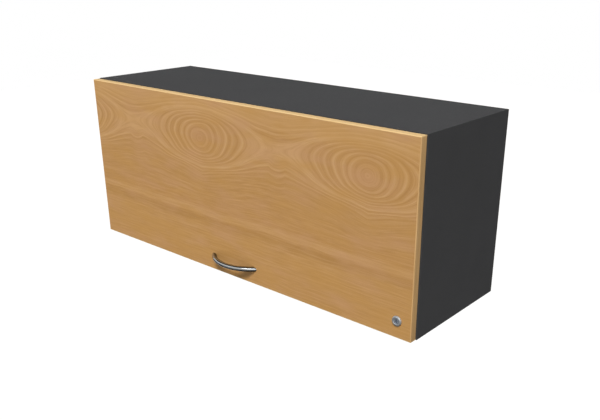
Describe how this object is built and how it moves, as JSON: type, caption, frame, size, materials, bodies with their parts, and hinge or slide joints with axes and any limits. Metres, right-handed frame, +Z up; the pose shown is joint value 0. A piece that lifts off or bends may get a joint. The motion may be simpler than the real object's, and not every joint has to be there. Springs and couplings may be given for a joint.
{
  "type": "lift up wall cabinet",
  "caption": "Wall cabinet with one lift-up beech flap on concealed hinges and gas struts, bow handle, cam lock and charcoal carcass hung on hooks.",
  "frame": {"origin": "on the wall plane, halfway across the width, at the height of the wall rail edge that the hanger hooks sit on, 42 mm below the top", "axes": "+X to the right as seen from the room, +Y to the wall, +Z up; the door faces -Y"},
  "size_m": [1, 0.3563, 0.412],
  "materials": {
    "charcoal_board": "melamine-faced particleboard, charcoal, fine matt texture",
    "charcoal_edging": "charcoal edging, matt",
    "back_board": "lacquered fibreboard, charcoal, matt",
    "beech_board": "beech-grain melamine on particleboard, satin",
    "beech_edging": "beech-coloured edging with rounded corners, satin",
    "handle_chrome": "polished chrome plate",
    "lock_chrome": "polished chrome plate",
    "lock_plug": "dark satin nickel",
    "hinge_nickel": "nickel-plated pressed steel",
    "zinc_steel": "zinc-plated steel",
    "strut_black": "black powder coat",
    "strut_rod": "hard-chromed, polished",
    "strut_socket": "black moulded nylon",
    "hanger_cover": "grey moulded plastic",
    "bumper": "translucent soft plastic"
  },
  "bodies": {
    "carcass": {"left_side_panel": "charcoal_board", "right_side_panel": "charcoal_board", "top_panel": "charcoal_board", "bottom_panel": "charcoal_board", "back_panel": "back_board", "left_side_front_edging": "charcoal_edging", "right_side_front_edging": "charcoal_edging", "top_front_edging": "charcoal_edging", "bottom_front_edging": "charcoal_edging", "lock_strike_plate": "zinc_steel", "left_hanger_body": "zinc_steel", "left_hanger_hook": "zinc_steel", "left_hanger_cover": "hanger_cover", "left_hinge_arm": "hinge_nickel", "left_hinge_mounting_plate": "hinge_nickel", "left_hinge_outer_pin": "zinc_steel", "left_hinge_inner_pin": "zinc_steel", "left_strut_carcass_bracket": "zinc_steel", "right_hanger_body": "zinc_steel", "right_hanger_hook": "zinc_steel", "right_hanger_cover": "hanger_cover", "right_hinge_arm": "hinge_nickel", "right_hinge_mounting_plate": "hinge_nickel", "right_hinge_outer_pin": "zinc_steel", "right_hinge_inner_pin": "zinc_steel", "right_strut_carcass_bracket": "zinc_steel"},
    "outer_links": {"left_hinge_outer_link": "hinge_nickel", "right_hinge_outer_link": "hinge_nickel"},
    "door": {"door_board": "beech_board", "door_top_edging": "beech_edging", "door_bottom_edging": "beech_edging", "door_left_edging": "beech_edging", "door_right_edging": "beech_edging", "bow_handle": "handle_chrome", "lock_body": "lock_chrome", "lock_nut": "zinc_steel", "left_handle_screw": "zinc_steel", "left_door_bumper": "bumper", "left_hinge_cup": "hinge_nickel", "left_strut_door_bracket": "zinc_steel", "right_handle_screw": "zinc_steel", "right_door_bumper": "bumper", "right_hinge_cup": "hinge_nickel", "right_strut_door_bracket": "zinc_steel"},
    "inner_links": {"left_hinge_inner_link": "hinge_nickel", "right_hinge_inner_link": "hinge_nickel"},
    "strut_tubes": {"left_strut_tube": "strut_black", "left_strut_carcass_socket": "strut_socket", "right_strut_tube": "strut_black", "right_strut_carcass_socket": "strut_socket"},
    "strut_rods": {"left_strut_rod": "strut_rod", "left_strut_door_socket": "strut_socket", "right_strut_rod": "strut_rod", "right_strut_door_socket": "strut_socket"},
    "lock_cylinder": {"lock_plug": "lock_plug", "lock_cam": "zinc_steel", "lock_cam_screw": "zinc_steel"}
  },
  "joints": [
    {"name": "outer_link_turn", "type": "hinge", "parent": "carcass", "child": "outer_links", "pos_m": [0, -0.272, -0.008], "axis": [1, 0, 0], "range_deg": [0, 31.41]},
    {"name": "door_lift", "type": "hinge", "parent": "outer_links", "child": "door", "pos_m": [0, -0.3076, 0.032], "axis": [-1, 0, 0], "range_deg": [0, 121.41]},
    {"name": "inner_link_turn", "type": "hinge", "parent": "carcass", "child": "inner_links", "pos_m": [0, -0.302, 0.0079], "axis": [1, 0, 0], "range_deg": [0, 55.26]},
    {"name": "strut_tube_turn", "type": "hinge", "parent": "carcass", "child": "strut_tubes", "pos_m": [0, -0.1, -0.108], "axis": [1, 0, 0], "range_deg": [0, 7.66]},
    {"name": "strut_rod_slide", "type": "slide", "parent": "strut_tubes", "child": "strut_rods", "axis": [0, -0.8839, 0.4677], "range_m": [0, 0.06671]},
    {"name": "lock_turn", "type": "hinge", "parent": "door", "child": "lock_cylinder", "pos_m": [0.465, -0.324, -0.331], "axis": [0, -1, 0], "range_deg": [0, 90]}
  ],
  "couplings": [
    {"joint": "outer_link_turn", "follows": "door_lift", "ratio": 0.25871},
    {"joint": "inner_link_turn", "follows": "door_lift", "ratio": 0.45515},
    {"joint": "strut_tube_turn", "follows": "door_lift", "ratio": 0.06307},
    {"joint": "strut_rod_slide", "follows": "door_lift", "m_per_rad": 0.031479}
  ]
}
